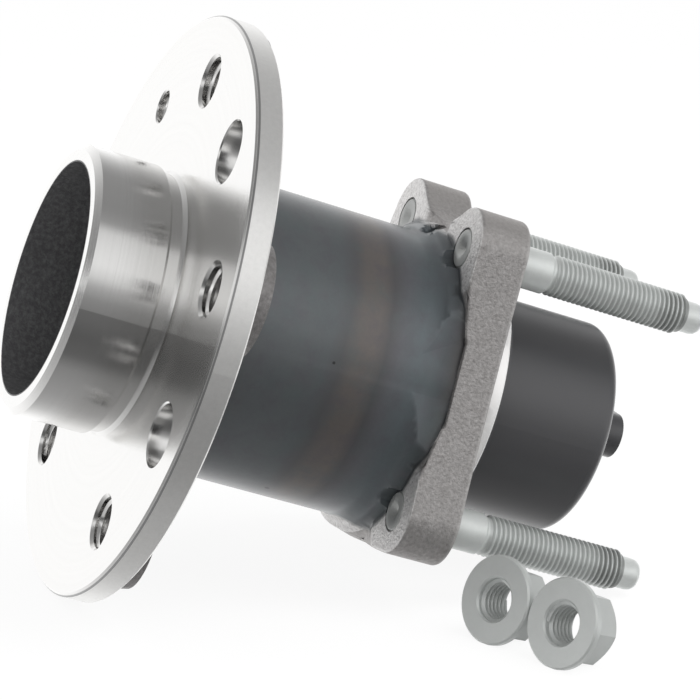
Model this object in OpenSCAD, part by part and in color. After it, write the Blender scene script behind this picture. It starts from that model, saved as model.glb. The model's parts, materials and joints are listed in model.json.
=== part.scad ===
// Wheel hub bearing unit: a flanged wheel spindle that turns on two rows of balls
// inside an outer ring, which bolts to the axle with four studs.
// All sizes are in millimetres. +Y is the axis of rotation, from the wheel side
// (outboard) to the axle side (inboard). +Z is up. The origin is the centre of the
// face that the brake disc and the wheel seat on.

/* [Wheel flange] */
// Outer diameter of the wheel flange
flange_d = 140.5; // [126:0.5:170]
// Thickness of the wheel flange at its rim
flange_t = 6.5; // [4:0.5:10]
// Edge chamfer of the flange
flange_edge = 0.8; // [0.3:0.1:1.5]
// Diameter of the wheel bolt circle
wheel_pcd = 110; // [100:0.5:114.3]
// Number of wheel bolts
wheel_bolts = 5; // [4:1:6]
// Nominal thread diameter of the wheel bolts
wheel_thread_d = 12; // [10:0.5:14]
// Lead-in chamfer at the mouth of each thread
mouth_edge = 0.7; // [0.2:0.1:1.2]
// Diameter of the forged boss behind each wheel bolt thread
boss_d = 26.4; // [20:0.2:30]
// Height of the forged bosses above the back of the flange
boss_h = 3.3; // [1:0.1:5]
// Draft of the boss, as extra radius at its foot
boss_draft = 0.9; // [0.2:0.1:1.5]
// Diameter of the plain access holes
access_d = 14.4; // [8:0.2:18]
// Nominal thread diameter of the brake disc screw
disc_screw_d = 8; // [5:0.5:10]
// Distance of the brake disc screw from the axis
disc_screw_r = 52.8; // [46:0.1:60]
// Turn of the spindle about its axis at rest
hub_turn = 2.5; // [-30:0.5:30]

/* [Pilot nose] */
// Diameter of the pilot that centres the disc and the wheel
pilot_d = 65; // [58:0.1:72]
// Length of the pilot in front of the flange face
pilot_l = 22.1; // [12:0.1:30]
// Bore of the hollow nose
nose_bore_d = 56; // [44:0.5:56]
// Axial length of the lead-in chamfer on the nose
nose_edge = 1.3; // [0.5:0.1:3]
// Radial width of the lead-in chamfer on the nose
nose_edge_w = 1.6; // [0.5:0.1:2.5]
// Width of the turned relief at the foot of the pilot
relief_w = 3.4; // [2:0.1:5]
// Radial depth of the turned relief
relief_depth = 1.2; // [0.4:0.1:2]
// Radius of the corner between the relief and the flange face
relief_corner = 0.9; // [0.3:0.1:1.6]
// Depth of the bowl floor behind the flange face
bowl_floor = 3; // [0:0.1:5]
// Corner radius at the bowl floor
bowl_corner = 6; // [2:0.5:10]

/* [Spindle] */
// Diameter of the root collar behind the flange
root_d = 68; // [60:0.5:76]
// Distance of the root collar's back face from the flange face
root_y = 12.8; // [11.5:0.1:14]
// Height of the land that carries the flinger above the inner race shoulders
land_h = 1.4; // [0.8:0.1:2]
// Height of the inner race shoulders above the bottom of the raceway
inner_shoulder_h = 3.2; // [2.4:0.1:3.6]
// Diameter of the seat for the inboard inner ring
seat_d = 31; // [28:0.5:34]
// Diameter of the threaded spindle end
end_thread_d = 26; // [22:0.5:28]
// Length of the threaded end behind the inner ring
end_thread_l = 16.5; // [14:0.1:17]

/* [Bearing] */
// Ball diameter
ball_d = 11.112; // [10:0.001:11.5]
// Pitch diameter of both ball rows
pitch_d = 50; // [49:0.1:51]
// Balls in each row
balls = 12; // [8:1:12]
// Distance of the outboard row from the flange face
row_y = 30; // [29:0.1:32]
// Distance between the two ball rows
row_gap = 28; // [26:0.1:30]
// Contact angle of the raceways
contact_angle = 35; // [25:1:40]
// Groove radius as a share of the ball diameter
groove_share = 0.52; // [0.515:0.001:0.54]
// Clearance between a ball and a raceway
race_gap = 0.03; // [0.02:0.01:0.08]
// Height of the outer race shoulders above the bottom of the raceway
outer_shoulder_h = 2.3; // [1.8:0.1:2.8]
// Length of the inner ring on the outboard side of its row
inner_lead = 13.4; // [11:0.1:13.6]
// Length of the inner ring on the inboard side of its row
inner_tail = 14; // [12.5:0.1:15]
// Radial thickness of each ball cage
cage_t = 3.8; // [2.4:0.1:4]
// Thickness of the cage's rim beside the balls
cage_rim = 1.7; // [1:0.1:2]
// Length of the cage past the centres of the balls
cage_grip = 2; // [1:0.1:3]
// Clearance between a ball and its cage pocket
cage_gap = 0.12; // [0.06:0.01:0.2]

/* [Outer ring] */
// Diameter of the barrel
barrel_d = 71.2; // [69:0.1:76]
// Gap between the root collar and the outer ring
end_gap = 1.7; // [1:0.1:2.5]
// Distance of the mounting face from the flange face
mount_y = 78.5; // [76:0.1:84]
// Thickness of the mounting flange at its lobes
mount_t = 12.9; // [10:0.1:15]
// Step from the lobe faces down to the flange web
web_step = 3.3; // [0.3:0.1:5]
// Radius around each stud where its lobe's face starts to fall to the web
lobe_flat = 12; // [10:0.5:14]
// Radius around each stud where its lobe meets the web
lobe_foot = 24; // [18:0.5:26]
// Diameter of the round part of the mounting flange
web_d = 79.4; // [77:0.1:82]
// Radius of each lobe around its stud
lobe_r = 10; // [9:0.1:11]
// Distance of the valley between the upper lobes from the axis
valley_r = 40; // [38.5:0.1:42]
// Depth of the hollow along each long side
side_sag = 0.8; // [0.3:0.1:2]
// Depth of the ledge between the flare and the web on each long side
waist_step = 1.6; // [0.5:0.1:2]
// Radius of the fillet from the barrel to the flare
fillet_r = 5; // [4.6:0.1:9]
// Axial length of the fillet
fillet_l = 4.4; // [3:0.1:4.5]
// Axial length of the whole flare in front of the web
flare_l = 9.6; // [6:0.1:12]
// Diameter of the blind hole in the flare below the upper valley
pit_d = 5.6; // [3:0.1:6.5]
// Depth of the blind hole
pit_depth = 2; // [1:0.1:2.4]
// Clock angle of the blind hole from the top
pit_angle = 4; // [-10:0.5:10]
// Chamfer at the front of the barrel
barrel_edge = 1; // [0.3:0.1:2]
// Chamfer at the end of the spigot
spigot_edge = 0.5; // [0.2:0.1:1]
// Diameter of the turned spigot behind the mounting face
spigot_d = 68; // [66:0.1:71]
// Length of the turned spigot
spigot_l = 3.7; // [2:0.1:6]

/* [Mounting studs] */
// Diameter of the circle through the four studs
stud_pcd = 84.2; // [83:0.1:87]
// Angle of the upper studs from the vertical
stud_up = 29.2; // [26:0.1:34]
// Angle of the lower studs from the vertical
stud_low = 126.8; // [120:0.1:132]
// Nominal thread diameter of the studs
stud_d = 10; // [8:0.5:10.5]
// Length of the studs behind the mounting face, without the point
stud_l = 46.8; // [30:0.1:60]
// Diameter of the point at the stud's end
point_d = 7.6; // [5:0.1:7.8]
// Length of the point at the stud's end
point_l = 4.6; // [2:0.1:8]
// Chamfer at the stud's screwed-in end
stud_edge = 0.6; // [0.3:0.1:1]
// Chamfer at the thread's end and at the point
point_edge = 1; // [0.5:0.1:1.4]
// Diameter of the centre mark in the stud's screwed-in end
centre_d = 4.6; // [2:0.1:5]
// Depth of the run-out groove at the mounting face
runout = 0.4; // [0.2:0.05:0.6]
// Width of the run-out groove
runout_w = 1; // [0.6:0.1:2]

/* [Seal] */
// Width of the outboard seal
seal_w = 5.4; // [4:0.1:6]
// Sheet thickness of the seal case and the flinger
seal_sheet = 0.8; // [0.5:0.05:1.2]
// Running clearance between the lip and the flinger
lip_gap = 0.06; // [0.03:0.01:0.1]

/* [Spindle nut] */
// Thickness of the thrust washer
washer_t = 2.5; // [1.5:0.1:3]
// Outer diameter of the thrust washer
washer_d = 40; // [36:0.5:42]
// Width across flats of the spindle nut
nut_af = 36; // [32:0.5:37]
// Height of the spindle nut
nut_h = 12; // [8:0.1:13]

/* [Sensor cap] */
// Radial gap between the pulse ring and the cap
cap_gap = 0.9; // [0.6:0.05:1.5]
// Length of the cap behind the spigot
cap_l = 33.6; // [32:0.1:40]
// Wall thickness of the cap
cap_wall = 1.8; // [1.2:0.1:2]
// Radius of the cap's rear corner
cap_corner = 3; // [1:0.1:5]
// Diameter of the cap's collar flange
collar_d = 64; // [62.5:0.1:65]
// Thickness of the cap's collar flange
collar_t = 1.2; // [0.8:0.1:2]
// Length of the collar inside the outer ring
collar_l = 8; // [6:0.1:9]
// Section diameter of the sealing ring on the collar
oring_d = 1.7; // [1.4:0.1:2]
// Distance of the sealing ring from the spigot's end
oring_in = 4.5; // [4:0.1:6]
// Sideways offset of the connector from the axis
plug_x = 3; // [0:0.1:6]
// Height offset of the connector from the axis
plug_z = 2.4; // [-4:0.1:4]
// Width of the connector shroud
plug_w = 21; // [16:0.5:24]
// Height of the connector shroud
plug_h = 11; // [9:0.1:14]
// Length of the connector shroud behind the cap
plug_l = 8.6; // [6:0.1:11]
// Wall thickness of the connector shroud
plug_wall = 1.5; // [1:0.1:2]
// Depth of the socket in the connector
plug_depth = 7.6; // [5:0.1:8]

/* [Sensor] */
// Number of teeth on the pulse ring
teeth = 29; // [20:1:36]
// Sheet thickness of the pulse ring
pulse_t = 1.2; // [0.8:0.1:1.5]
// Length of the pulse ring behind the inner ring
pulse_l = 17.2; // [16.8:0.1:19]
// Length of its seat on the inner ring
pulse_seat = 5.6; // [3:0.1:6]
// Height of its teeth
tooth_h = 5; // [3:0.1:8]
// Air gap between the teeth and the pole ring
air_gap = 0.8; // [0.5:0.1:1.2]
// Thickness of the pole ring
pole_t = 1.5; // [1:0.1:2]
// Thickness of the ring magnet
magnet_t = 3.5; // [2:0.1:5]
// Inner diameter of the sensor coil
coil_id = 32; // [28:0.5:38]
// Width of each terminal pin
pin_w = 2.2; // [1.2:0.1:2.8]
// Thickness of each terminal pin
pin_t = 0.8; // [0.6:0.1:1]
// Spacing of the two terminal pins
pin_pitch = 7; // [5:0.1:8]

/* [Loose nuts] */
// Diameter of the nut's flange
nut_flange_d = 20.6; // [19:0.1:20.8]
// Height of the nut's flange at its rim
nut_flange_t = 1.6; // [1:0.1:2.5]
// Width across flats of the loose nuts
loose_af = 15; // [13:0.5:17]
// Height of the loose nuts
loose_h = 10; // [8:0.1:12]

/* [Fits] */
// Interference of the pressed-in pieces, on the radius
press_over = 0.02; // [0.01:0.005:0.04]

/* [Hidden] */
e = 0.01;
big = 400;

// Stations along the axis
y_row1 = row_y;
y_row2 = row_y + row_gap;
y_ring = root_y + end_gap;
y_lobe = mount_y - mount_t;
y_web = y_lobe + web_step;
y_spigot = mount_y + spigot_l;
y_inner = y_row2 + inner_tail;
y_inner0 = y_row2 - inner_lead;
y_nut = y_inner + washer_t;
y_end = y_inner + end_thread_l;
y_cap = y_spigot + cap_l;
y_pulse = y_inner + pulse_l;
y_pole = y_pulse + air_gap;
y_coil = y_pole + pole_t;
y_magnet = y_cap - cap_wall - magnet_t;
y_seal = y_ring + 0.3;
y_flare = y_web - flare_l;
y_oring = y_spigot - oring_in;

// Raceway grooves, both contact lines meeting outside the rows
ball_r = ball_d / 2;
groove_r = groove_share * ball_d;
shift = groove_r - ball_r - race_gap;
shift_r = shift * cos(contact_angle);
shift_y = shift * sin(contact_angle);
outer_race_r = pitch_d / 2 - shift_r + groove_r;
inner_race_r = pitch_d / 2 + shift_r - groove_r;

// Radii used in more than one piece
flange_r = flange_d / 2;
pilot_r = pilot_d / 2;
nose_bore_r = nose_bore_d / 2;
root_r = root_d / 2;
shoulder_r = inner_race_r + inner_shoulder_h;
land_r = shoulder_r + land_h;
bore_r = outer_race_r - outer_shoulder_h;
barrel_r = barrel_d / 2;
stud_circle_r = stud_pcd / 2;
stud_r = stud_d / 2;
fillet_h = fillet_r - sqrt(fillet_r * fillet_r - fillet_l * fillet_l);
cap_in_r = shoulder_r + pulse_t + cap_gap;
cap_r = cap_in_r + cap_wall;
plug_in_h = plug_h - 2 * plug_wall;
plug_in_w = plug_w - 2 * plug_wall;
stud_angles = [stud_up, -stud_up, stud_low, -stud_low];
cage_in_r = pitch_d / 2 - cage_t / 2;
cage_out_r = pitch_d / 2 + cage_t / 2;

// Where the flange face of each loose nut is, and how the nut is turned
nut_pos = [[61.3, 84.3, -33.8], [80.25, 92.75, -31.15]];
nut_yaw = [113.6, 113.3];
nut_tilt = [91.6, 91.5];
nut_roll = 22.8;

// Stands a piece that was built along local Z on the axis of rotation
module on_axis() {
    rotate([-90, 0, 0])
        children();
}

// Puts a piece at a clock angle from +Z towards +X, at radius r
module spoke(angle, r) {
    rotate([0, 0, angle - 90])
        translate([r, 0, 0])
            children();
}

// Revolved profile in radius and station
module turned(points, sides = 120) {
    rotate_extrude($fn = sides)
        polygon(points);
}

// Round solid between two stations
module drum(r, y0, y1, sides = 64) {
    translate([0, 0, y0])
        cylinder(r = r, h = y1 - y0, $fn = sides);
}

// Ring between two radii and two stations
module band(r0, r1, y0, y1, sides = 96) {
    rotate_extrude($fn = sides)
        translate([r0, y0])
            square([r1 - r0, y1 - y0]);
}

// Cone between two stations
module taper(r0, r1, y0, y1, sides = 64) {
    translate([0, 0, y0])
        cylinder(r1 = r0, r2 = r1, h = y1 - y0, $fn = sides);
}

// Through hole with a lead-in chamfer at its outboard mouth
module chamfered_hole(r, edge, y0, y1, sides = 48) {
    drum(r, y0 - 1, y1 + 1, sides);
    taper(r + edge + 1, r, y0 - 1, y0 + edge, sides);
}

// Angle of each wheel bolt, counted from the spindle's own turn
function bolt_angle(i) = hub_turn + i * 360 / wheel_bolts;

// Half section of the spindle
module spindle_section() {
    difference() {
        union() {
            polygon([
                [0, bowl_floor - bowl_corner],
                [pilot_r - nose_edge_w, -pilot_l],
                [pilot_r, -pilot_l + nose_edge],
                [pilot_r, -relief_w - relief_corner],
                [pilot_r - relief_depth, -relief_w],
                [pilot_r - relief_depth, -relief_corner],
                [pilot_r - relief_depth + relief_corner, 0],
                [flange_r - flange_edge, 0],
                [flange_r, flange_edge],
                [flange_r, flange_t - flange_edge / 2],
                [flange_r - flange_edge / 2, flange_t],
                [root_r + 7, flange_t],
                [root_r + 1, root_y - 2],
                [root_r - 1, root_y],
                [land_r, root_y],
                [land_r, y_ring + seal_w + 0.6],
                [shoulder_r, y_ring + seal_w + 0.9],
                [shoulder_r, y_row1 - shift_y],
                [inner_race_r, y_row1 + shift_y],
                [inner_race_r, y_inner0],
                [seat_d / 2, y_inner0],
                [seat_d / 2, y_inner - 0.5],
                [end_thread_d / 2, y_inner - 0.5],
                [end_thread_d / 2, y_end - 1.2],
                [end_thread_d / 2 - 1.2, y_end],
                [0, y_end]
            ]);
            square([pilot_r - nose_edge_w, root_y]);
            translate([0, -pilot_l])
                square([pilot_r - nose_edge_w, pilot_l + e]);
        }
        translate([pitch_d / 2 + shift_r, y_row1 + shift_y])
            circle(r = groove_r, $fn = 96);
        bowl_section();
    }
}

// Half section of the forged bowl inside the nose
module bowl_section() {
    translate([-1, -pilot_l - 1])
        square([nose_bore_r + 1, pilot_l + 1 + bowl_floor - bowl_corner]);
    translate([-1, bowl_floor - bowl_corner - e])
        square([nose_bore_r - bowl_corner + 1, bowl_corner + e]);
    translate([nose_bore_r - bowl_corner, bowl_floor - bowl_corner])
        circle(r = bowl_corner, $fn = 48);
}

// Wheel flange, hollow pilot nose and bearing shaft in one forging
module hub_spindle() {
    color([0.70, 0.71, 0.72])
        on_axis()
            difference() {
                union() {
                    rotate_extrude($fn = 144)
                        spindle_section();
                    for (i = [0 : wheel_bolts - 1])
                        spoke(bolt_angle(i), wheel_pcd / 2)
                            taper(boss_d / 2 + boss_draft, boss_d / 2, flange_t - 1, flange_t + boss_h);
                }
                for (i = [0 : wheel_bolts - 1])
                    spoke(bolt_angle(i), wheel_pcd / 2)
                        chamfered_hole(wheel_thread_d / 2, mouth_edge, 0, flange_t + boss_h);
                for (i = [0, 1])
                    spoke(bolt_angle(i + 0.5), wheel_pcd / 2)
                        chamfered_hole(access_d / 2, mouth_edge / 2, 0, flange_t);
                spoke(bolt_angle(-0.5), disc_screw_r)
                    chamfered_hole(disc_screw_d / 2, mouth_edge / 2, 0, flange_t);
            }
}

// Pressed-on inner ring with the inboard raceway
module inboard_inner_ring() {
    color([0.74, 0.74, 0.75])
        on_axis()
            rotate_extrude($fn = 96)
                difference() {
                    polygon([
                        [seat_d / 2 - press_over, y_inner0],
                        [inner_race_r, y_inner0],
                        [inner_race_r, y_row2 - shift_y],
                        [shoulder_r, y_row2 + shift_y],
                        [shoulder_r, y_inner],
                        [seat_d / 2 - press_over, y_inner]
                    ]);
                    translate([pitch_d / 2 + shift_r, y_row2 - shift_y])
                        circle(r = groove_r, $fn = 96);
                }
}

// Washer between the inner ring and the spindle nut
module thrust_washer() {
    color([0.60, 0.60, 0.62])
        on_axis()
            band(end_thread_d / 2 + 0.2, washer_d / 2, y_inner, y_nut);
}

// Hexagon nut that clamps the inner ring on the spindle
module spindle_nut() {
    color([0.66, 0.66, 0.62])
        on_axis()
            difference() {
                intersection() {
                    translate([0, 0, y_nut])
                        cylinder(r = nut_af / 2 / cos(30), h = nut_h, $fn = 6);
                    taper(nut_af / 2 / cos(30) + nut_h, nut_af / 2 - 0.2, y_nut, y_nut + nut_h + 0.6);
                }
                drum(end_thread_d / 2, y_nut - 1, y_nut + nut_h + 1);
            }
}

// Sheet steel flinger that the seal lip runs against
module seal_flinger() {
    color([0.72, 0.72, 0.74])
        on_axis() {
            turned([
                [land_r - press_over, y_seal],
                [outer_race_r - 1.2, y_seal],
                [outer_race_r - 1.2, y_seal + seal_sheet],
                [land_r + seal_sheet, y_seal + seal_sheet],
                [land_r + seal_sheet, y_seal + seal_w - 1],
                [land_r - press_over, y_seal + seal_w - 1]
            ], 96);
        }
}

// Toothed ring on the inner ring, which the sensor reads
module pulse_ring() {
    color([0.62, 0.62, 0.60])
        on_axis()
            difference() {
                band(shoulder_r - press_over, shoulder_r + pulse_t, y_inner - pulse_seat, y_pulse);
                for (i = [0 : teeth - 1])
                    rotate([0, 0, i * 360 / teeth])
                        translate([shoulder_r - 1, -PI * shoulder_r / teeth / 2, y_pulse - tooth_h])
                            cube([pulse_t + 2, PI * shoulder_r / teeth, tooth_h + 1]);
            }
}

// Direction of a clock angle in the plane across the axis, and the angle of a direction
function unit(a) = [sin(a), -cos(a)];
function clock(v) = atan2(v[0], -v[1]);

// Centre of an upper or a lower stud in the plane across the axis
function stud_place(angle) = stud_circle_r * unit(angle);

// Outward direction of the long side between an upper and a lower lobe
function side_normal() =
    let (run = stud_place(stud_low) - stud_place(stud_up))
    [run[1], -run[0]] / norm(run);

// Points of an arc between two clock angles
function arc(centre, r, from, to, steps) =
    [for (i = [0 : steps]) centre + r * unit(from + (to - from) * i / steps)];

// Right half of the mounting flange's outline, from the valley down to the lowest point
function mount_half() =
    let (
        up = stud_place(stud_up),
        low = stud_place(stud_low),
        out = side_normal(),
        valley = [0, -valley_r - valley_arc()],
        side = [for (t = [1 : 11]) up + out * lobe_r + (low - up) * t / 12 - out * side_sag * t * (12 - t) / 36],
        foot = stud_low + acos((web_d / 2 - lobe_r) / stud_circle_r)
    )
    concat(
        arc(valley, valley_arc(), 180, clock(up - valley), 10),
        arc(up, lobe_r, clock(valley - up), clock(out), 24),
        side,
        arc(low, lobe_r, clock(out), foot, 20),
        arc([0, 0], web_d / 2, foot, 180, 8)
    );

// Slab with the mounting flange's outline, between two stations
module mount_slab(y0, y1) {
    half = mount_half();
    translate([0, 0, y0])
        linear_extrude(height = y1 - y0)
            polygon(concat(half, [for (i = [len(half) - 2 : -1 : 1]) [-half[i][0], half[i][1]]]));
}

// Radius of the valley arc that touches both upper lobes
function valley_arc() =
    let (x = stud_circle_r * sin(stud_up), z = stud_circle_r * cos(stud_up), d = valley_r - z)
    (x * x + d * d - lobe_r * lobe_r) / (2 * (lobe_r - d));

// Half section of the flare between the barrel and the web: a fillet and then a cone
module flare_section() {
    turn = asin(fillet_l / fillet_r);
    fillet = [
        for (i = [0 : 5])
            let (a = turn * i / 5)
            [barrel_r + fillet_r * (1 - cos(a)), y_flare + fillet_r * sin(a)]
    ];
    polygon(concat(
        [[barrel_r - 3, y_flare]],
        fillet,
        [[web_d / 2 - 0.1, y_web], [web_d / 2 - 0.1, y_web + 1], [barrel_r - 3, y_web + 1]]
    ));
}

// Half section of the outer ring without its flange
module ring_section() {
    difference() {
        polygon([
            [bore_r, y_ring],
            [barrel_r - barrel_edge, y_ring],
            [barrel_r, y_ring + barrel_edge],
            [barrel_r, mount_y],
            [spigot_d / 2, mount_y],
            [spigot_d / 2, y_spigot - spigot_edge],
            [spigot_d / 2 - spigot_edge, y_spigot],
            [bore_r, y_spigot]
        ]);
        translate([0, y_ring - 1])
            square([outer_race_r, y_row1 - shift_y - y_ring + 1]);
        translate([0, y_row2 + shift_y])
            square([outer_race_r, y_spigot - y_row2 - shift_y + 1]);
        translate([pitch_d / 2 - shift_r, y_row1 - shift_y])
            circle(r = groove_r, $fn = 96);
        translate([pitch_d / 2 - shift_r, y_row2 + shift_y])
            circle(r = groove_r, $fn = 96);
    }
}

// Mounting flange plate: a web, four raised lobes and the flare in front of it
module mount_plate() {
    mount_slab(y_web, mount_y);
    for (a = stud_angles)
        intersection() {
            mount_slab(y_lobe, y_web + 1);
            spoke(a, stud_circle_r)
                taper(lobe_flat, lobe_foot, y_lobe, y_web + e, 120);
        }
    flare();
}

// Flare in front of the web, cut flat along both long sides
module flare() {
    up = stud_place(stud_up);
    low = stud_place(stud_low);
    near = side_normal() * (lobe_r - side_sag - waist_step);
    far = side_normal() * lobe_r * 3;
    difference() {
        rotate_extrude($fn = 144)
            flare_section();
        translate([0, 0, y_flare - 1])
            linear_extrude(height = flare_l + 3)
                for (m = [0, 1])
                    mirror([m, 0])
                        polygon([up + near, up + far, low + far, low + near]);
    }
}

// Stationary outer ring with both raceways, the mounting flange and the spigot
module outer_ring() {
    color([0.55, 0.54, 0.53])
        on_axis()
            difference() {
                union() {
                    rotate_extrude($fn = 144)
                        ring_section();
                    difference() {
                        mount_plate();
                        drum(barrel_r - 1.2, y_ring, y_spigot + 1, 144);
                    }
                }
                for (a = stud_angles)
                    spoke(a, stud_circle_r)
                        drum(stud_r, y_flare - 1, mount_y + 1, 48);
                spoke(pit_angle, barrel_r + fillet_h)
                    translate([0, 0, y_flare + fillet_l])
                        rotate([0, 135, 0])
                            drum(pit_d / 2, -pit_depth, fillet_r, 32);
            }
}

// One screwed-in stud with a centre mark at one end and a smooth point at the other
module stud() {
    rotate_extrude($fn = 64)
        polygon([
            [0, y_lobe + centre_d / 4],
            [centre_d / 2, y_lobe],
            [stud_r - stud_edge, y_lobe],
            [stud_r + press_over, y_lobe + stud_edge],
            [stud_r + press_over, mount_y - runout_w - runout],
            [stud_r - runout, mount_y - runout_w],
            [stud_r - runout, mount_y],
            [stud_r, mount_y + runout],
            [stud_r, mount_y + stud_l - point_edge],
            [point_d / 2, mount_y + stud_l],
            [point_d / 2, mount_y + stud_l + point_l - point_edge],
            [point_d / 2 - point_edge, mount_y + stud_l + point_l],
            [0, mount_y + stud_l + point_l]
        ]);
}

// The four studs that hold the unit on the axle
module mounting_studs() {
    color([0.72, 0.74, 0.74])
        on_axis()
            for (a = stud_angles)
                spoke(a, stud_circle_r)
                    stud();
}

// Steel case of the outboard seal, pressed into the outer ring
module outboard_seal_case() {
    color([0.50, 0.50, 0.52])
        on_axis()
            turned([
                [outer_race_r - seal_sheet, y_seal],
                [outer_race_r + press_over, y_seal],
                [outer_race_r + press_over, y_seal + seal_w],
                [land_r + seal_sheet + 1.6, y_seal + seal_w],
                [land_r + seal_sheet + 1.6, y_seal + seal_w - seal_sheet],
                [outer_race_r - seal_sheet, y_seal + seal_w - seal_sheet]
            ], 96);
}

// Rubber lips bonded to the case, running on the flinger
module outboard_seal_lip() {
    lip_r = land_r + seal_sheet + lip_gap;
    face = y_seal + seal_sheet + lip_gap;
    back = y_seal + seal_w - seal_sheet;
    color([0.12, 0.12, 0.12])
        on_axis()
            turned([
                [outer_race_r - seal_sheet, back],
                [land_r + seal_sheet + 1.6, back],
                [lip_r + 1, back + seal_sheet - 0.6],
                [lip_r, back - 0.9],
                [lip_r + 0.7, back - 1.2],
                [outer_race_r - 3.2, back - 1],
                [outer_race_r - 2.6, face],
                [outer_race_r - 1.7, face],
                [outer_race_r - seal_sheet, back - 1]
            ], 96);
}

// Stadium outline of the connector, in the plane of the cap's rear face
module plug_outline(w, h) {
    translate([plug_x, -plug_z]) {
        square([w - h, h], center = true);
        for (s = [-1, 1])
            translate([s * (w - h) / 2, 0])
                circle(r = h / 2, $fn = 48);
    }
}

// Half section of the cap
module cap_section() {
    collar_r = outer_race_r;
    difference() {
        union() {
            translate([0, y_spigot])
                square([collar_d / 2, collar_t]);
            translate([0, y_spigot - collar_l])
                square([collar_r + press_over, collar_l + e]);
            translate([0, y_spigot])
                square([cap_r - cap_corner, cap_l]);
            translate([0, y_spigot])
                square([cap_r, cap_l - cap_corner]);
            translate([cap_r - cap_corner, y_cap - cap_corner])
                circle(r = cap_corner, $fn = 48);
        }
        translate([-1, y_spigot - collar_l - 1])
            square([cap_in_r + 1, collar_l + cap_l - cap_wall + 1]);
        translate([-1, y_spigot - collar_l - 1])
            square([collar_r - oring_d - 0.5, collar_l + 1 - cap_wall]);
        translate([collar_r - oring_d + 0.1, y_oring - oring_d / 2 - 0.1])
            square([oring_d + 1, oring_d + 0.2]);
    }
}

// Moulded cap with the sensor's connector
module sensor_cap() {
    color([0.13, 0.13, 0.14])
        on_axis()
            difference() {
                union() {
                    rotate_extrude($fn = 120)
                        cap_section();
                    translate([0, 0, y_cap - e])
                        linear_extrude(height = plug_l + e)
                            plug_outline(plug_w, plug_h);
                }
                translate([0, 0, y_cap + plug_l - plug_depth])
                    linear_extrude(height = plug_depth + 1)
                        plug_outline(plug_in_w, plug_in_h);
                pin_pair();
            }
}

// Rubber ring on the cap's collar
module cap_sealing_ring() {
    color([0.10, 0.10, 0.10])
        on_axis()
            rotate_extrude($fn = 96)
                translate([outer_race_r - oring_d / 2 + 0.05, y_oring])
                    circle(r = oring_d / 2, $fn = 24);
}

// Wound coil of the sensor, potted in the cap
module sensor_coil() {
    color([0.55, 0.30, 0.16])
        on_axis()
            band(coil_id / 2, cap_in_r, y_coil, y_magnet);
}

// Ring magnet behind the coil
module sensor_magnet() {
    color([0.25, 0.25, 0.27])
        on_axis()
            band(coil_id / 2 + 2, cap_in_r, y_magnet, y_magnet + magnet_t);
}

// Pole ring that faces the teeth of the pulse ring
module pole_ring() {
    color([0.58, 0.58, 0.60])
        on_axis()
            band(shoulder_r - 2, cap_in_r, y_pole, y_coil);
}

// Both terminal pins as one shape, also cut from the cap
module pin_pair() {
    for (s = [-1, 1])
        translate([plug_x + s * pin_pitch / 2 - pin_w / 2, -plug_z - pin_t / 2, y_cap - cap_wall - 1.6])
            cube([pin_w, pin_t, cap_wall + 1.6 + plug_l - 2]);
}

// The two terminal pins in the connector
module terminal_pins() {
    color([0.78, 0.66, 0.36])
        on_axis()
            pin_pair();
}

// One loose flange nut, standing on its seating face
module loose_nut() {
    cone_h = (nut_flange_d - loose_af) / 2 * 0.75;
    difference() {
        union() {
            taper(nut_flange_d / 2 - 0.4, nut_flange_d / 2, 0, 0.4, 48);
            drum(nut_flange_d / 2, 0.4, nut_flange_t, 48);
            taper(nut_flange_d / 2 - 0.3, loose_af / 2, nut_flange_t - e, nut_flange_t + cone_h, 48);
            intersection() {
                cylinder(r = loose_af / 2 / cos(30), h = loose_h, $fn = 6);
                taper(loose_af / 2 / cos(30) + loose_h, loose_af / 2 - 0.3, 0, loose_h + 0.2, 48);
            }
        }
        drum(stud_d / 2, -1, loose_h + 1, 48);
        taper(stud_d / 2 + 1.4, stud_d / 2, -1, 0.4, 48);
        taper(stud_d / 2, stud_d / 2 + 1.4, loose_h - 0.4, loose_h + 1, 48);
    }
}

// The two nuts that lie beside the unit
module flange_nuts() {
    color([0.62, 0.65, 0.63])
        for (i = [0, 1])
            translate(nut_pos[i])
                rotate([0, nut_tilt[i], nut_yaw[i]])
                    rotate([0, 0, nut_roll])
                        loose_nut();
}

// A ring of balls at one row
module ball_row(y) {
    for (i = [0 : balls - 1])
        rotate([0, 0, i * 360 / balls])
            translate([pitch_d / 2, 0, y])
                sphere(r = ball_r, $fn = 32);
}

// A cage for one row, with its rim on the side given by way
module cage(y, way) {
    reach = ball_r + cage_rim;
    lo = way < 0 ? y - reach : y - cage_grip;
    hi = way < 0 ? y + cage_grip : y + reach;
    difference() {
        band(cage_in_r, cage_out_r, lo, hi);
        for (i = [0 : balls - 1])
            rotate([0, 0, i * 360 / balls])
                translate([pitch_d / 2, 0, y])
                    sphere(r = ball_r + cage_gap, $fn = 32);
    }
}

// Cage of the outboard row
module outboard_cage() {
    color([0.80, 0.76, 0.62])
        on_axis()
            cage(y_row1, -1);
}

// Balls of the outboard row
module outboard_balls() {
    color([0.85, 0.86, 0.88])
        on_axis()
            ball_row(y_row1);
}

// Cage of the inboard row
module inboard_cage() {
    color([0.80, 0.76, 0.62])
        on_axis()
            cage(y_row2, 1);
}

// Balls of the inboard row
module inboard_balls() {
    color([0.85, 0.86, 0.88])
        on_axis()
            ball_row(y_row2);
}

outer_ring();
mounting_studs();
outboard_seal_case();
outboard_seal_lip();
sensor_cap();
cap_sealing_ring();
sensor_coil();
sensor_magnet();
pole_ring();
terminal_pins();
flange_nuts();
hub_spindle();
inboard_inner_ring();
thrust_washer();
spindle_nut();
seal_flinger();
pulse_ring();
outboard_cage();
outboard_balls();
inboard_cage();
inboard_balls();
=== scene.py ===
import json
import math

import bmesh
import bpy
from mathutils import Matrix, Vector


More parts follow.
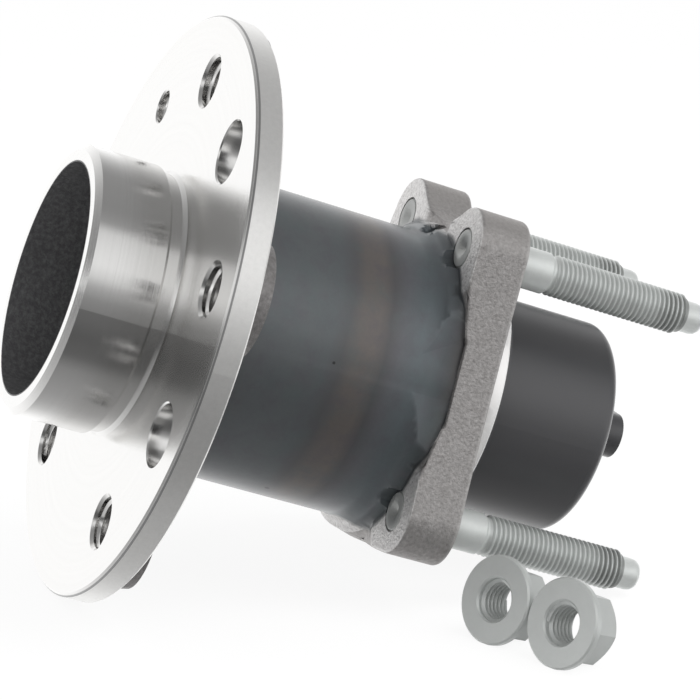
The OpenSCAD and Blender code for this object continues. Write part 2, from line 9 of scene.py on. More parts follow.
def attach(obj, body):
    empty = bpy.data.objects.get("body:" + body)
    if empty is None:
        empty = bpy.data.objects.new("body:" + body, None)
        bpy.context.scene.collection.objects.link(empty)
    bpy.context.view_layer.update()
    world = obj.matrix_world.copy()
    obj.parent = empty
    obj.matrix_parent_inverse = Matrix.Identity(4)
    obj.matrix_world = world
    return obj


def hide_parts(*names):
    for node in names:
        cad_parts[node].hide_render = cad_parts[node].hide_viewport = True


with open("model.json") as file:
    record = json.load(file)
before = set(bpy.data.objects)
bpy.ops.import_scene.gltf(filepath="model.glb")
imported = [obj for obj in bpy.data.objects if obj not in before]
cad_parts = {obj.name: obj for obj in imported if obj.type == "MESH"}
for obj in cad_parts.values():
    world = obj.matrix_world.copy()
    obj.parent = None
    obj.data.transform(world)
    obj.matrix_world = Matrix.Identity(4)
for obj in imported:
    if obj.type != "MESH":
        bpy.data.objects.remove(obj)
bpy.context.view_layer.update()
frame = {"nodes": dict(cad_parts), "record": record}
cadNodes = frame["nodes"]
mounts = {mount["name"]: mount for mount in frame["record"]["mounts"]}
studSeats = [Vector(mounts["stud_%d" % number]["pos_m"]) for number in (1, 2, 3, 4)]
print("frame loaded:", len(cadNodes), "nodes")

# The camera stands where the photograph was taken from
photoView = {
    "place": (0.65564, -0.19032, 0.08937),
    "right": (0.2951, 0.9005, 0.3195),
    "down": (0.2206, 0.2611, -0.9398),
    "lens": 151.06, "sensor": 36, "near": 0.01, "far": 50,
}


def placeCamera(view):
    right = Vector(view["right"]).normalized()
    down = Vector(view["down"])
    up = -(down - right * down.dot(right)).normalized()
    back = right.cross(up)
    turn = Matrix((right, up, back)).transposed().to_4x4()
    bpy.ops.object.camera_add()
    camera = bpy.context.object
    camera.matrix_world = Matrix.Translation(view["place"]) @ turn
    camera.data.lens = view["lens"]
    camera.data.sensor_width = view["sensor"]
    camera.data.clip_start = view["near"]
    camera.data.clip_end = view["far"]
    bpy.context.scene.camera = camera


placeCamera(photoView)
bpy.context.scene.view_settings.view_transform = "Standard"
print("camera placed")


# Shader sums are written as expressions on sockets
class Shade:
    def __init__(self, tree, socket):
        self.tree = tree
        self.socket = socket

    def maths(self, operation, *others, clamp=False):
        return addNode(self.tree, "ShaderNodeMath", {"operation": operation, "use_clamp": clamp},
                       dict(enumerate((self, *others))))

    def __add__(self, other):
        return self.maths("ADD", other)

    def __radd__(self, other):
        return self.maths("ADD", other)

    def __sub__(self, other):
        return self.maths("SUBTRACT", other)

    def __rsub__(self, other):
        return addNode(self.tree, "ShaderNodeMath", {"operation": "SUBTRACT"}, {0: other, 1: self})

    def __mul__(self, other):
        return self.maths("MULTIPLY", other)

    def __rmul__(self, other):
        return self.maths("MULTIPLY", other)

    def __truediv__(self, other):
        return self.maths("DIVIDE", other)

    def __pow__(self, other):
        return self.maths("POWER", other)

    # Rises from 0 to 1 where the value passes a level, over a given width
    def passes(self, level, width):
        return ((self - level) / width).maths("ADD", 0.5, clamp=True)


def addNode(tree, kind, settings=None, inputs=None, out=0):
    made = tree.nodes.new(kind)
    for key, value in (settings or {}).items():
        if key == "stops":
            ramp = made.color_ramp
            while len(ramp.elements) > 1:
                ramp.elements.remove(ramp.elements[-1])
            for index, (place, colour) in enumerate(value):
                stop = ramp.elements[0] if index == 0 else ramp.elements.new(place)
                stop.position = place
                stop.color = (*colour, 1.0)
        else:
            setattr(made, key, value)
    for key, value in (inputs or {}).items():
        if isinstance(value, Shade):
            tree.links.new(value.socket, made.inputs[key])
        else:
            made.inputs[key].default_value = value
    return Shade(tree, made.outputs[out])


# Goes from the first value to the second as the share rises from 0 to 1
def between(share, first, second):
    return (1 - share) * first + share * second


# Brightness of the studio by the angle about the hub's axis, from the camera's side upwards:
# a dark room behind the camera, one long soft box above it and a white table and wall
studio = {
    "light": 0.8,
    "white": 1.0,
    "walls": [(-180, 1.2), (-142, 1.15), (-130, 0.9), (-118, 0.62), (-106, 0.46), (-94, 0.38),
              (-80, 0.33), (-62, 0.27), (-48, 0.13), (-30, 0.11), (-12, 0.15), (2, 0.3),
              (12, 0.46), (20, 0.78), (30, 0.95), (44, 0.88), (58, 0.76), (66, 0.34), (80, 0.28),
              (104, 0.3), (118, 0.32), (128, 0.4), (140, 0.6), (152, 0.9), (164, 1.15),
              (180, 1.2)],
}


def lightWorld(values):
    world = bpy.data.worlds.new("studioWorld")
    bpy.context.scene.world = world
    world.use_nodes = True
    world.cycles.sampling_method = "NONE"
    tree = world.node_tree
    tree.nodes.clear()
    path = tree.nodes.new("ShaderNodeLightPath")
    toCamera = Shade(tree, path.outputs["Is Camera Ray"]).maths(
        "MAXIMUM", Shade(tree, path.outputs["Is Transmission Ray"]))
    toGloss = Shade(tree, path.outputs["Is Glossy Ray"])
    coords = tree.nodes.new("ShaderNodeTexCoord")
    away = addNode(tree, "ShaderNodeSeparateXYZ", {}, {0: Shade(tree, coords.outputs["Generated"])})
    split = away.socket.node.outputs
    angle = Shade(tree, split["Z"]).maths("ARCTAN2", Shade(tree, split["X"]))
    stops = [(place / 360 + 0.5, (level, level, level)) for place, level in values["walls"]]
    walls = addNode(tree, "ShaderNodeValToRGB", {"stops": stops}, {0: angle / math.tau + 0.5})
    strength = between(toCamera, between(toGloss, values["light"], walls), values["white"])
    glow = addNode(tree, "ShaderNodeBackground", {}, {"Color": (1, 1, 1, 1), "Strength": strength})
    target = tree.nodes.new("ShaderNodeOutputWorld")
    tree.links.new(glow.socket, target.inputs["Surface"])


lightWorld(studio)

# The unit lies on its flange rim and its two lower stud tips, so the floor slopes in its own frame
floorPlane = {
    "point": (0, 0.001, -0.07025), "slope": 17.42, "size": 8.0,
    "paper": 0.85, "shadow": 0.13, "glow": 1.04,
}


def layFloor(values):
    bpy.ops.mesh.primitive_plane_add(size=values["size"])
    floor = bpy.context.object
    floor.name = "studioFloor"
    floor.matrix_world = (Matrix.Translation(values["point"])
                          @ Matrix.Rotation(math.radians(values["slope"]), 4, "X"))
    skin = bpy.data.materials.new("floorPaper")
    skin.use_nodes = True
    tree = skin.node_tree
    tree.nodes.clear()
    path = tree.nodes.new("ShaderNodeLightPath")
    seen = Shade(tree, path.outputs["Is Camera Ray"])
    for ray in ("Is Glossy Ray", "Is Transmission Ray"):
        seen = seen.maths("MAXIMUM", Shade(tree, path.outputs[ray]))
    grey = values["paper"]
    paper = addNode(tree, "ShaderNodeBsdfDiffuse", {}, {"Color": (grey, grey, grey, 1)})
    glow = addNode(tree, "ShaderNodeEmission", {},
                   {"Color": (1, 1, 1, 1), "Strength": values["glow"]})
    both = addNode(tree, "ShaderNodeMixShader", {},
                   {0: seen * (1 - values["shadow"]), 1: paper, 2: glow})
    target = tree.nodes.new("ShaderNodeOutputMaterial")
    tree.links.new(both.socket, target.inputs["Surface"])
    floor.data.materials.append(skin)
    floor.visible_glossy = False  # the metal reads the studio's walls and table from the world


layFloor(floorPlane)

# A weak soft box above the unit, for the shadow under it
keyBox = {"place": (0.35, 0.35, 0.9), "aim": (0, 0.05, 0), "size": (0.5, 0.9), "power": 5}


def addLamp(name, values):
    bpy.ops.object.light_add(type="AREA", location=values["place"])
    lamp = bpy.context.object
    lamp.name = name
    lamp.data.shape = "RECTANGLE"
    lamp.data.size, lamp.data.size_y = values["size"]
    lamp.data.energy = values["power"]
    away = Vector(values["place"]) - Vector(values["aim"])
    lamp.rotation_euler = away.to_track_quat("Z", "Y").to_euler()
    lamp.visible_glossy = False


addLamp("keyBox", keyBox)
print("studio lit")


# A skin starts with the piece's own coordinates, the distance from the hub's axis and the place
# along it. A noise is given by its size, detail and roughness, a contrast by its level and width
class Skin:
    def __init__(self, name):
        self.material = bpy.data.materials.new(name)
        self.material.use_nodes = True
        self.tree = self.material.node_tree
        self.tree.nodes.clear()
        coords = self.tree.nodes.new("ShaderNodeTexCoord")
        self.place = Shade(self.tree, coords.outputs["Object"])
        split = addNode(self.tree, "ShaderNodeSeparateXYZ", {}, {0: self.place}).socket.node.outputs
        self.x = Shade(self.tree, split["X"])
        self.along = Shade(self.tree, split["Y"])
        self.z = Shade(self.tree, split["Z"])
        self.out = (self.x * self.x + self.z * self.z) ** 0.5

    def distance(self, spot):
        return addNode(self.tree, "ShaderNodeVectorMath", {"operation": "DISTANCE"},
                       {0: self.place, 1: spot}, out=1)

    def noise(self, size, detail, rough):
        return addNode(self.tree, "ShaderNodeTexNoise", {},
                       {"Vector": self.place, "Scale": 1 / size, "Detail": detail,
                        "Roughness": rough})

    # Turning grooves, rings about the axis
    def rings(self, size, detail):
        return addNode(self.tree, "ShaderNodeTexNoise", {"noise_dimensions": "1D"},
                       {"W": self.out + self.along, "Scale": 1 / size, "Detail": detail})

    def blend(self, share, first, second):
        return addNode(self.tree, "ShaderNodeMix", {"data_type": "RGBA"},
                       {0: share, 6: paint(first), 7: paint(second)}, out=2)

    def bump(self, height, depth, under=None):
        inputs = {"Strength": 1.0, "Distance": depth, "Height": height}
        if under:
            inputs["Normal"] = under
        return addNode(self.tree, "ShaderNodeBump", {}, inputs)

    def finish(self, inputs):
        surface = addNode(self.tree, "ShaderNodeBsdfPrincipled", {}, inputs)
        target = self.tree.nodes.new("ShaderNodeOutputMaterial")
        self.tree.links.new(surface.socket, target.inputs["Surface"])
        return self.material


def paint(colour):
    return colour if isinstance(colour, Shade) else (*colour, 1.0)


def dim(colour, share):
    return tuple(part * share for part in colour)


# The hub is turned bright, with a dark cast bowl in its nose, forged bosses and a brushed rim
# with a painted shade line at its front chamfer
hubFinish = {
    "edge": 0.0001, "softEdge": 0.0002, "shine": 0.12, "roughShine": 0.5,
    "steel": (0.79, 0.785, 0.775), "grooves": (0.00012, 2.0), "grooveDepth": 0.0000035,
    "faceTo": 0.0003, "faceGrooves": 1.5,
    "bands": (0.0016, 3.0), "bandShare": 0.25, "bandDim": 0.86, "bandShine": 0.05,
    "grain": (0.0006, 3.0, 0.6), "grainDepth": 0.00012, "speckle": (0.0011, 4.0, 0.7),
    "bowlRadius": 0.0283, "bowlDepth": 0.0032, "bowlLack": 0.75,
    "bowl": (0.10, 0.10, 0.103), "bowlSpeck": (0.19, 0.19, 0.193), "bowlContrast": (0.55, 0.3),
    "forgedFrom": 0.0067, "forgedRadius": 0.0335, "forgedLack": 0.35,
    "forged": (0.20, 0.19, 0.19), "forgedSpeck": (0.34, 0.33, 0.325),
    "forgedContrast": (0.5, 0.4),
    "rimFrom": 0.0698, "rimShine": 0.27, "rimLack": 0.18,
    "rim": (0.90, 0.895, 0.88), "rimDim": 0.9, "rimContrast": (0.5, 0.6),
    # Painted shade line at the rim's front chamfer: its place, width and colour
    "creaseAt": 0.00065, "creaseWidth": 0.0002, "crease": (0.34, 0.34, 0.34),
}


def turnedSteel(name, values):
    skin = Skin(name)
    edge, softEdge = values["edge"], values["softEdge"]
    inBowl = ((1 - skin.out.passes(values["bowlRadius"], edge))
              * (1 - skin.along.passes(values["bowlDepth"], edge)))
    forged = (skin.along.passes(values["forgedFrom"], edge)
              * skin.out.passes(values["forgedRadius"], softEdge))
    rim = skin.out.passes(values["rimFrom"], softEdge) * (1 - forged)
    # A painted shade line in the crease at the rim's front chamfer, a dark ring on the rim
    offCrease = (skin.along - values["creaseAt"]).maths("ABSOLUTE")
    crease = 1 - offCrease.passes(values["creaseWidth"], edge)
    rough = inBowl.maths("MAXIMUM", forged)
    face = (1 - skin.along.passes(values["faceTo"], softEdge)) * (1 - rough)

    speckle = skin.noise(*values["speckle"])
    bands = skin.rings(*values["bands"])
    steel = skin.blend(bands * values["bandShare"], values["steel"],
                       dim(values["steel"], values["bandDim"]))
    brushed = skin.blend(speckle.passes(*values["rimContrast"]),
                         dim(values["rim"], values["rimDim"]), values["rim"])
    bowl = skin.blend(speckle.passes(*values["bowlContrast"]), values["bowl"], values["bowlSpeck"])
    cast = skin.blend(speckle.passes(*values["forgedContrast"]),
                      values["forged"], values["forgedSpeck"])
    colour = skin.blend(rim, steel, brushed)
    colour = skin.blend(rim * crease, colour, values["crease"])
    colour = skin.blend(inBowl, colour, bowl)
    colour = skin.blend(forged, colour, cast)

    gloss = between(rough, bands * values["bandShine"] + values["shine"], values["roughShine"])
    gloss = gloss + rim * (values["rimShine"] - values["shine"])
    metal = (1 - inBowl * values["bowlLack"] - forged * values["forgedLack"]
             - rim * values["rimLack"])
    grooves = skin.bump(skin.rings(*values["grooves"]) * (face * values["faceGrooves"] + 1),
                        values["grooveDepth"])
    grain = skin.noise(*values["grain"]) * rough
    return skin.finish({"Base Color": colour, "Metallic": metal, "Roughness": gloss,
                        "Normal": skin.bump(grain, values["grainDepth"], grooves)})


# The outer ring has tints along its barrel from its front edge to the mounting flange, darkest at
# the flange, where they paint the shade of the corner, stains over them, a blasted flange with
# painted light on its fronts and a spigot painted near white as a painted reflection; sideTilt
# is the sine of the angle at which the flange's sides lean
ringFinish = {
    "from": 0.012, "to": 0.068,
    # The last two stops, darkest where the barrel meets the flange, are painted shade of that
    # corner
    "tintsAndShade": [(0.0, (0.134, 0.138, 0.142)), (0.2, (0.126, 0.138, 0.147)),
              (0.34, (0.124, 0.138, 0.145)), (0.45, (0.115, 0.129, 0.137)),
              (0.51, (0.105, 0.106, 0.110)), (0.56, (0.142, 0.127, 0.120)),
              (0.64, (0.150, 0.132, 0.123)), (0.69, (0.098, 0.096, 0.100)),
              (0.75, (0.126, 0.132, 0.146)), (0.84, (0.122, 0.148, 0.162)),
              (0.90, (0.112, 0.132, 0.145)), (0.95, (0.076, 0.088, 0.096)),
              (1.0, (0.068, 0.067, 0.068))],
    "drift": (0.012, 3.0, 0.6), "driftShare": 0.05,
    "stains": [
        {"noise": (0.005, 4.0, 0.65), "contrast": (0.58, 0.25), "share": 0.45,
         "tint": (0.108, 0.100, 0.118)},
        {"noise": (0.009, 4.0, 0.6), "contrast": (0.60, 0.22), "share": 0.4,
         "tint": (0.100, 0.136, 0.138)},
        {"noise": (0.0008, 3.0, 0.7), "contrast": (0.5, 0.8), "share": 0.22,
         "tint": (0.07, 0.07, 0.07)},
    ],
    "pits": [((0.03533, 0.03906, 0.00437), 0.00035), ((0.01789, 0.03971, -0.03078), 0.0006)],
    "pitEdge": 0.5, "pit": (0.032, 0.032, 0.034),
    "barrelShine": 0.42, "stainShine": 0.06, "barrelMetal": 0.55, "coat": 0.7, "coatShine": 0.25,
    "grooves": (0.00018, 2.0), "grooveDepth": 0.000003,
    "edge": 0.0003, "softEdge": 0.001, "sideTilt": 0.208, "sideFrom": 0.0360,
    "lowFrom": 0.034, "highFrom": 0.038, "farFrom": 0.040, "flangeFrom": 0.0605,
    "speckle": (0.0009, 3.0, 0.7), "blastedContrast": (0.52, 0.45), "blastedShine": 0.5,
    "blasted": (0.37, 0.354, 0.348), "light": (0.61, 0.592, 0.585), "blastedMetal": 0.85,
    "grain": (0.0007, 2.0, 0.6), "grainDepth": 0.00022,
    "castFrom": 0.0425, "castEdge": 0.006, "castAfter": 0.0665, "castShare": 0.6,
    "cast": (0.60, 0.575, 0.56),
    "stripFrom": 0.0777, "stripShare": 0.4, "strip": (0.75, 0.74, 0.73),
    # Painted light: lighter grains on the flange's front faces
    "frontTo": 0.0659, "frontContrast": (0.36, 0.5), "front": (0.88, 0.87, 0.865),
    # The spigot is bright machined steel; its near-white colour is a painted reflection of white
    "spigotFrom": 0.0786, "spigotEdge": 0.0001, "spigot": (1.0, 0.99, 0.98),
    "spigotShine": 0.32, "spigotMetal": 0.5,
}


# Tints along the barrel, ending in painted shade by the flange, then stains and pits over them
def blueBarrel(skin, values, blots, speckle):
    share = (skin.along - values["from"]) / (values["to"] - values["from"])
    drift = (skin.noise(*values["drift"]) - 0.5) * values["driftShare"]
    colour = addNode(skin.tree, "ShaderNodeValToRGB", {"stops": values["tintsAndShade"]},
                     {0: share + drift})
    for stain, blot in zip(values["stains"], blots):
        colour = skin.blend(blot.passes(*stain["contrast"]) * stain["share"], colour, stain["tint"])
    for pit, radius in values["pits"]:
        reach = skin.distance(pit) + (speckle - 0.5) * radius
        inPit = 1 - reach.passes(radius, radius * values["pitEdge"])
        colour = skin.blend(inPit, colour, values["pit"])
    return colour


# The blasted flange's colour, with painted light on its front faces
def blastedFlange(skin, values, speckle):
    edge = values["edge"]
    colour = skin.blend(speckle.passes(*values["blastedContrast"]),
                        values["blasted"], values["light"])
    cast = (skin.z.maths("ABSOLUTE").passes(values["castFrom"], values["castEdge"])
            * skin.along.passes(values["castAfter"], edge))
    colour = skin.blend(cast * values["castShare"], colour, values["cast"])
    strip = skin.along.passes(values["stripFrom"], edge)
    colour = skin.blend(strip * values["stripShare"], colour, values["strip"])
    # Painted light on the flange's front faces, lighter grains as if lit
    front = 1 - skin.along.passes(values["frontTo"], edge)
    return skin.blend(front * speckle.passes(*values["frontContrast"]), colour, values["front"])


# Where the mounting flange is: outside its leaning sides, above, below and beyond the barrel
def onFlange(skin, values):
    tilt, edge, softEdge = values["sideTilt"], values["edge"], values["softEdge"]
    sideways = skin.x.maths("ABSOLUTE") * math.cos(math.asin(tilt)) + skin.z * tilt
    flange = sideways.passes(values["sideFrom"], edge)
    flange = flange.maths("MAXIMUM", (0 - skin.z).passes(values["lowFrom"], softEdge))
    flange = flange.maths("MAXIMUM", skin.z.passes(values["highFrom"], softEdge))
    flange = flange.maths("MAXIMUM", skin.out.passes(values["farFrom"], softEdge))
    return flange * skin.along.passes(values["flangeFrom"], softEdge)


def ringSteel(name, values):
    skin = Skin(name)
    flange = onFlange(skin, values)
    spigot = skin.along.passes(values["spigotFrom"], values["spigotEdge"])
    speckle = skin.noise(*values["speckle"])
    blots = [skin.noise(*stain["noise"]) for stain in values["stains"]]
    colour = skin.blend(flange, blueBarrel(skin, values, blots, speckle),
                        blastedFlange(skin, values, speckle))
    # Painted reflection: the spigot turns near white
    colour = skin.blend(spigot, colour, values["spigot"])
    gloss = between(flange, values["barrelShine"], values["blastedShine"])
    gloss = between(spigot, gloss + blots[0] * values["stainShine"], values["spigotShine"])
    metal = between(flange, values["barrelMetal"], values["blastedMetal"])
    metal = between(spigot, metal, values["spigotMetal"])
    grooves = skin.bump(skin.rings(*values["grooves"]) * (1 - flange), values["grooveDepth"])
    grain = skin.noise(*values["grain"]) * flange * (1 - spigot)
    return skin.finish({"Base Color": colour, "Metallic": metal, "Roughness": gloss,
                        "Normal": skin.bump(grain, values["grainDepth"], grooves),
                        "Coat Weight": (1 - flange) * (1 - spigot) * values["coat"],
                        "Coat Roughness": values["coatShine"]})


# Zinc on the studs and nuts, with painted shade in the studs' thread grooves, most at their tips,
# and darker on the ends seated in the flange
zincFinish = {
    "zinc": (0.65, 0.672, 0.66), "cloud": (0.004, 3.0, 0.6), "cloudDim": 0.88,
    "grain": (0.0005, 2.0, 0.6), "grainDepth": 0.00003,
    "metal": 0.5, "shine": 0.34, "cloudShine": 0.1, "edge": 0.0002,
    "studRadius": 0.0054, "studGain": 1.22,
    # Painted shade in the studs' thread grooves: its colour and reach, with more of it at the tips
    "groove": (0.16, 0.165, 0.16), "grooveRadius": 0.00475, "grooveEdge": 0.0004,
    "threadFrom": 0.0885, "threadStart": 0.0005, "threadTo": 0.1247, "threadEnd": 0.0003,
    "grooveShadeShare": 0.3, "tipShadeShare": 0.4, "tipFrom": 0.1175, "tipEdge": 0.003,
    "seated": (0.24, 0.24, 0.235), "seatedTo": 0.0667, "seatedWithin": 0.058, "seatedShare": 0.6,
}


def zincSteel(name, values):
    skin = Skin(name)
    reach = 1.0
    for seat in studSeats:
        across, down = skin.x - seat.x, skin.z - seat.z
        reach = ((across * across + down * down) ** 0.5).maths("MINIMUM", reach)
    edge = values["edge"]
    onStud = 1 - reach.passes(values["studRadius"], edge)
    # Painted shade in the thread grooves of the studs
    groove = ((1 - reach.passes(values["grooveRadius"], values["grooveEdge"]))
              * skin.along.passes(values["threadFrom"], values["threadStart"])
              * (1 - skin.along.passes(values["threadTo"], values["threadEnd"])))
    grooveShadeShare = skin.along.passes(values["tipFrom"], values["tipEdge"]) * values["tipShadeShare"]
    seated = ((1 - skin.along.passes(values["seatedTo"], edge))
              * (1 - skin.out.passes(values["seatedWithin"], edge)))
    cloud = skin.noise(*values["cloud"])
    zinc = values["zinc"]
    nutZinc = skin.blend(cloud, dim(zinc, values["cloudDim"]), zinc)
    studZinc = skin.blend(cloud, zinc, dim(zinc, values["studGain"]))
    colour = skin.blend(onStud, nutZinc, studZinc)
    colour = skin.blend(groove * (grooveShadeShare + values["grooveShadeShare"]), colour, values["groove"])
    colour = skin.blend(seated * values["seatedShare"], colour, values["seated"])
    return skin.finish({"Base Color": colour, "Metallic": values["metal"],
                        "Roughness": cloud * values["cloudShine"] + values["shine"],
                        "Normal": skin.bump(skin.noise(*values["grain"]), values["grainDepth"])})


# Plain skins of the hidden pieces and the sensor cap; the last dictionary holds what they share
plainFinishes = {
    "bearing_steel": {"base": (0.78, 0.78, 0.79), "metal": 1.0, "shine": 0.08,
                      "grain": 0.002, "depth": 0.0},
    "seal_steel": {"base": (0.52, 0.52, 0.54), "metal": 1.0, "shine": 0.28,
                   "grain": 0.001, "depth": 0.000005},
    "seal_rubber": {"base": (0.02, 0.02, 0.021), "metal": 0.0, "shine": 0.6,
                    "grain": 0.0006, "depth": 0.00002},
    "cap_plastic": {"base": (0.053, 0.053, 0.057), "metal": 0.0, "shine": 0.40,
                    "grain": 0.0008, "depth": 0.000012, "coat": 0.9},
    "coil_copper": {"base": (0.72, 0.36, 0.20), "metal": 1.0, "shine": 0.3,
                    "grain": 0.0004, "depth": 0.00004},
    "magnet_dark": {"base": (0.06, 0.06, 0.065), "metal": 0.3, "shine": 0.5,
                    "grain": 0.0005, "depth": 0.00002},
    "soft_iron": {"base": (0.48, 0.47, 0.46), "metal": 1.0, "shine": 0.35,
                  "grain": 0.001, "depth": 0.00001},
    "terminal_brass": {"base": (0.80, 0.62, 0.28), "metal": 1.0, "shine": 0.22,
                       "grain": 0.001, "depth": 0.000005},
    "cage_plastic": {"base": (0.24, 0.22, 0.16), "metal": 0.0, "shine": 0.45,
                     "grain": 0.001, "depth": 0.00001},
}
plainShared = {"detail": 2.0, "rough": 0.6, "contrast": (0.5, 1.0), "dim": 0.88,
               "grainShine": 0.08, "coatShine": 0.35}


def plainSkin(name, values, shared):
    skin = Skin(name)
    grain = skin.noise(values["grain"], shared["detail"], shared["rough"])
    colour = skin.blend(grain.passes(*shared["contrast"]),
                        dim(values["base"], shared["dim"]), values["base"])
    return skin.finish({"Base Color": colour, "Metallic": values["metal"],
                        "Roughness": grain * shared["grainShine"] + values["shine"],
                        "Coat Weight": values.get("coat", 0.0),
                        "Coat Roughness": shared["coatShine"],
                        "Normal": skin.bump(grain, values["depth"])})


skins = {name: plainSkin(name, values, plainShared) for name, values in plainFinishes.items()}
skins["turned_steel"] = turnedSteel("turned_steel", hubFinish)
skins["blasted_steel"] = ringSteel("blasted_steel", ringFinish)
skins["zinc_steel"] = zincSteel("zinc_steel", zincFinish)
print("skins mixed:", len(skins))

for entry in frame["record"]["subparts"]:
    node = cadNodes[entry["node"]]
    node.data.materials.clear()
    node.data.materials.append(skins[entry["material_slot"]])


def selectOnly(piece):
    bpy.ops.object.select_all(action="DESELECT")
    piece.select_set(True)
    bpy.context.view_layer.objects.active = piece


# Names and paints a finished piece, smooths it below a crease angle and gives it to its body
def settle(piece, name, slot, body, crease=32):
    piece.name = name
    piece.data.materials.clear()
    piece.data.materials.append(skins[slot])
    selectOnly(piece)
    bpy.ops.object.shade_smooth_by_angle(angle=math.radians(crease))
    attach(piece, body)


# A round bar on the Z axis, drawn out ring by ring from (height, radius) stations
def turnBar(stations, sides):
    start, radius = stations[0]
    bpy.ops.object.select_all(action="DESELECT")
    bpy.ops.mesh.primitive_circle_add(vertices=sides, radius=radius, fill_type="NGON",
                                      location=(0, 0, start))
    bar = bpy.context.object
    bpy.ops.object.transform_apply(location=True, rotation=True, scale=True)
    bpy.ops.object.mode_set(mode="EDIT")
    bpy.ops.mesh.select_all(action="SELECT")
    for (near, small), (far, wide) in zip(stations, stations[1:]):
        bpy.ops.mesh.extrude_region_move(TRANSFORM_OT_translate={"value": (0, 0, far - near)})
        bpy.ops.transform.resize(value=(wide / small, wide / small, 1))
    bpy.ops.mesh.select_all(action="SELECT")
    bpy.ops.mesh.normals_make_consistent(inside=False)
    bpy.ops.object.mode_set(mode="OBJECT")
    return bar


# A thread's form: half the width of its foot and of its crest as shares of the pitch, how far the
# foot sinks into the root as a share of the height, the least height, and the steps of a turn
threadForm = {"foot": 0.49, "flat": 1 / 14, "sink": 0.25, "least": 0.02, "steps": 28}


# The helical ridge of a thread on the Z axis, fading at both ends; its crest lies outside the root
# on a bolt, inside it in a hole
def windThread(values, form=threadForm):
    root, crest, pitch = values["root"], values["crest"], values["pitch"]
    foot, flat, fade = pitch * form["foot"], pitch * form["flat"], pitch * values["fade"]
    start, end = values["from"] + foot, values["to"] - foot
    turns = (end - start) / pitch
    sunk = root + (root - crest) * form["sink"]
    bpy.ops.object.select_all(action="DESELECT")
    bpy.ops.mesh.primitive_circle_add(vertices=4, radius=pitch, fill_type="NOTHING")
    ridge = bpy.context.object
    corners = [(sunk, -foot), (crest, -flat), (crest, flat), (sunk, foot)]
    for corner, (radius, height) in zip(ridge.data.vertices, corners):
        corner.co = (radius, 0, start + height)
    twist = ridge.modifiers.new("twist", "SCREW")
    twist.axis = "Z"
    twist.angle = turns * math.tau
    twist.screw_offset = end - start
    twist.steps = round(form["steps"] * turns)
    twist.render_steps = twist.steps
    bpy.ops.object.modifier_apply(modifier=twist.name)
    for corner in ridge.data.vertices:
        reach = math.hypot(corner.co.x, corner.co.y)
        if abs(reach - crest) < abs(reach - root) / 2:
            height = min((corner.co.z - start) / fade, (end - corner.co.z) / fade, 1)
            low = (root + (crest - root) * max(form["least"], height)) / reach
            corner.co.x *= low
            corner.co.y *= low
    bpy.ops.object.mode_set(mode="EDIT")
    bpy.ops.mesh.select_all(action="SELECT")
    bpy.ops.mesh.fill_holes(sides=4)
    bpy.ops.mesh.select_all(action="SELECT")
    bpy.ops.mesh.normals_make_consistent(inside=False)
    bpy.ops.object.mode_set(mode="OBJECT")
    return ridge


# Copies a finished piece, each copy with its own mesh, so that its Z axis lies along a direction
def setCopy(model, place, direction, spin):
    selectOnly(model)
    bpy.ops.object.duplicate()
    piece = bpy.context.object
    stand = Vector(direction).to_track_quat("Z", "X").to_matrix().to_4x4()
    spun = Matrix.Rotation(math.radians(spin), 4, "Z")
    piece.data.transform(Matrix.Translation(place) @ stand @ spun)
    return piece


def dropModel(model):
    selectOnly(model)
    bpy.ops.object.delete()


# Mounting studs: screwed-in end with a centre mark, shank, thread and rounded point
studShape = {
    "sides": 48,
    "stations": [(0.06675, 0.0003), (0.0656, 0.0023), (0.0656, 0.0044), (0.0662, 0.0050),
                 (0.0771, 0.0050), (0.0775, 0.0046), (0.0785, 0.0046), (0.0789, 0.0050),
                 (0.0874, 0.0050), (0.0882, 0.0043), (0.1244, 0.0043), (0.1252, 0.0038),
                 (0.1278, 0.0038), (0.1288, 0.0036), (0.1295, 0.0031), (0.1299, 0.0022)],
    "thread": {"root": 0.00425, "crest": 0.00497, "pitch": 0.00125, "fade": 0.4,
               "from": 0.0880, "to": 0.1246},
    "spins": [20, 140, 75, 250],
}


def makeStuds(values):
    model = turnBar(values["stations"], values["sides"])
    ridge = windThread(values["thread"])
    selectOnly(model)
    ridge.select_set(True)
    bpy.ops.object.join()
    for index, (seat, spin) in enumerate(zip(studSeats, values["spins"])):
        stud = setCopy(model, (seat.x, 0, seat.z), (0, 1, 0), spin)
        settle(stud, "mountingStud_%d" % (index + 1), "zinc_steel", "housing")
        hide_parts("mounting_studs")
    dropModel(model)


makeStuds(studShape)
print("studs turned")


# A copy of a CAD node with its triangles merged, free to be shaped; the cuts, planes through the
# hub's axis, keep a seam through each hole, so that no flat face has a hole in it
def copyNode(name, cuts, mergeWithin=0.000001, flatWithin=0.3):
    selectOnly(cadNodes[name])
    bpy.ops.object.duplicate()
    piece = bpy.context.object
    piece.parent = None
    for key in list(piece.keys()):
        del piece[key]
    bpy.ops.object.mode_set(mode="EDIT")
    bpy.ops.mesh.select_all(action="SELECT")
    bpy.ops.mesh.remove_doubles(threshold=mergeWithin)
    for normal in cuts:
        bpy.ops.mesh.select_all(action="SELECT")
        bpy.ops.mesh.bisect(plane_co=(0, 0, 0), plane_no=normal)
        bpy.ops.mesh.mark_seam()
    bpy.ops.mesh.select_all(action="SELECT")
    bpy.ops.mesh.dissolve_limited(angle_limit=math.radians(flatWithin), delimit={"SEAM"})
    bpy.ops.object.mode_set(mode="OBJECT")
    return piece


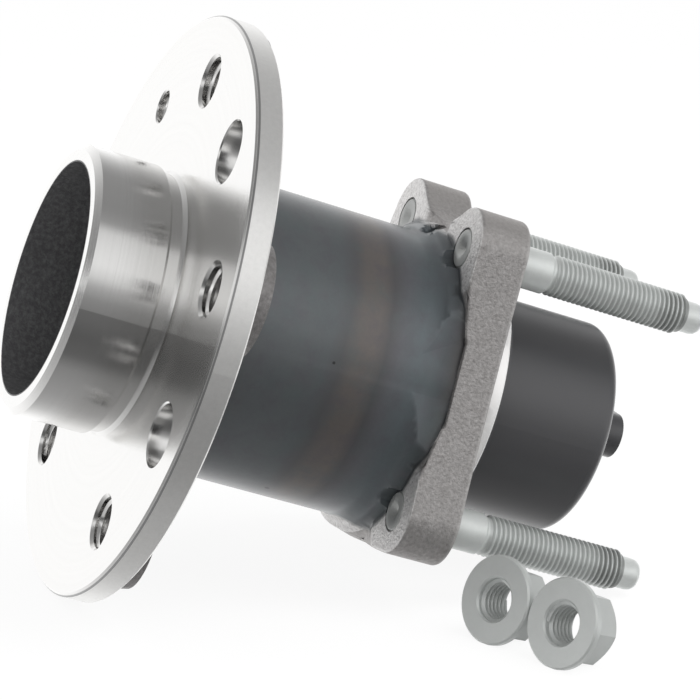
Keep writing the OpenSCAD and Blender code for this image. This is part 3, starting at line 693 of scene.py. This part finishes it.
# Rounds the outer edges that turn by more than an angle and lie where they are wanted
def roundEdges(piece, wanted, values):
    selectOnly(piece)
    bpy.ops.object.mode_set(mode="EDIT")
    bpy.ops.mesh.select_mode(type="EDGE")
    bpy.ops.mesh.select_all(action="DESELECT")
    shape = bmesh.from_edit_mesh(piece.data)
    least = math.radians(values["angle"])
    sharp = [edge for edge in shape.edges
             if len(edge.link_faces) == 2 and edge.is_convex and edge.calc_face_angle() >= least
             and wanted((edge.verts[0].co + edge.verts[1].co) / 2)]
    for edge in sharp:
        edge.select_set(True)
    bmesh.update_edit_mesh(piece.data)
    bpy.ops.mesh.bevel(offset=values["width"], segments=values["segments"], profile=0.5,
                       affect="EDGES", clamp_overlap=False)
    bpy.ops.object.mode_set(mode="OBJECT")
    print(piece.name, "edges rounded:", len(sharp))


# Shades a piece by the size of its faces, so that large flat ones look flat
def flatten(piece):
    evened = piece.modifiers.new("evened", "WEIGHTED_NORMAL")
    evened.keep_sharp = True
    selectOnly(piece)
    bpy.ops.object.modifier_apply(modifier=evened.name)


# Forged edges of the mounting flange, away from the barrel, its flare and the stud holes
forging = {
    "out": 0.0360, "from": 0.0655, "flareOut": 0.0399, "flareTo": 0.0686, "clear": 0.0058,
    "angle": 28, "width": 0.0006, "segments": 2,
}


def softenRing(values):
    def onForging(spot):
        out = math.hypot(spot.x, spot.z)
        if out < values["out"] or spot.y < values["from"]:
            return False
        if out < values["flareOut"] and spot.y < values["flareTo"]:
            return False
        return all(math.hypot(spot.x - seat.x, spot.z - seat.z) > values["clear"]
                   for seat in studSeats)

    ring = copyNode("outer_ring", [(seat.z, 0, -seat.x) for seat in studSeats])
    roundEdges(ring, onForging, values)
    settle(ring, "outerRing", "blasted_steel", "housing")
    flatten(ring)
    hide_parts("outer_ring")


softenRing(forging)
print("forging softened")

# Thread ridges: five M12 x 1.5 holes and one M8 x 1.25 hole in the flange, and two M10 nuts
wheelThread = {"root": 0.0060, "crest": 0.00522, "pitch": 0.0015, "fade": 0.3,
               "from": 0.0008, "to": 0.0094, "spin": 72}
screwThread = {"root": 0.0040, "crest": 0.00338, "pitch": 0.00125, "fade": 0.3,
               "from": 0.0006, "to": 0.0061}
nutThread = {"root": 0.0050, "crest": 0.00426, "pitch": 0.00125, "fade": 0.1,
             "from": -0.00495, "to": 0.0047, "spin": 100}


def cutFlangeThreads(wheel, screw):
    disc = Vector(mounts["disc_screw"]["pos_m"])
    pattern = mounts["wheel_bolts"]["dims"]
    radius = pattern["pcd_mm"] / 2 / 1000
    first = math.atan2(disc.x, disc.z) + math.pi / pattern["count"]
    model = windThread(wheel)
    for index in range(pattern["count"]):
        clock = first + index * math.tau / pattern["count"]
        place = (radius * math.sin(clock), 0, radius * math.cos(clock))
        ridge = setCopy(model, place, (0, 1, 0), index * wheel["spin"])
        settle(ridge, "wheelThread_%d" % (index + 1), "turned_steel", "hub")
    dropModel(model)
    model = windThread(screw)
    ridge = setCopy(model, (disc.x, 0, disc.z), (0, 1, 0), 0)
    settle(ridge, "discScrewThread", "turned_steel", "hub")
    dropModel(model)


def cutNutThreads(values):
    model = windThread(values)
    for number in (1, 2):
        bore = mounts["nut_thread_%d" % number]
        ridge = setCopy(model, bore["pos_m"], bore["axis"], values["spin"] * number)
        settle(ridge, "nutThread_%d" % number, "zinc_steel", "housing")
    dropModel(model)


cutFlangeThreads(wheelThread, screwThread)
cutNutThreads(nutThread)
print("threads cut")
